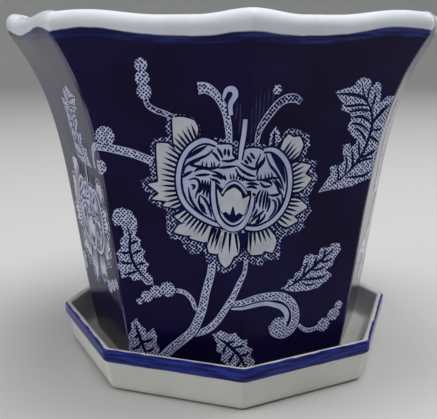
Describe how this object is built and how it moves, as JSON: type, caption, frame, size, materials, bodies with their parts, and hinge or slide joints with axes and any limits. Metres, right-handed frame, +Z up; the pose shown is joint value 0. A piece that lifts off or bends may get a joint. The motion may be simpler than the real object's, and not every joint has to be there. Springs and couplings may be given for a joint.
{
  "type": "planter",
  "caption": "Flared octagonal glazed porcelain planter with a rolled, waved rim, standing in a matching octagonal saucer that catches drained water.",
  "frame": {"origin": "middle of the saucer's foot, on the surface it stands on", "axes": "+Z up the axis of both pieces; one corner of both octagons points to -Y, the front"},
  "size_m": [0.2202, 0.2202, 0.1735],
  "materials": {
    "white_glaze": "white glazed porcelain with a cobalt band painted under the lip, clear gloss glaze over it",
    "navy_glaze": "deep navy glaze over white porcelain with a white floral scroll print, white rim and a cobalt line under it"
  },
  "bodies": {
    "saucer": {"saucer": "white_glaze"},
    "pot": {"pot": "navy_glaze"}
  },
  "joints": [
    {"name": "pot_lift", "type": "slide", "parent": "saucer", "child": "pot", "axis": [0, 0, 1], "range_m": [0, 0.03]}
  ]
}
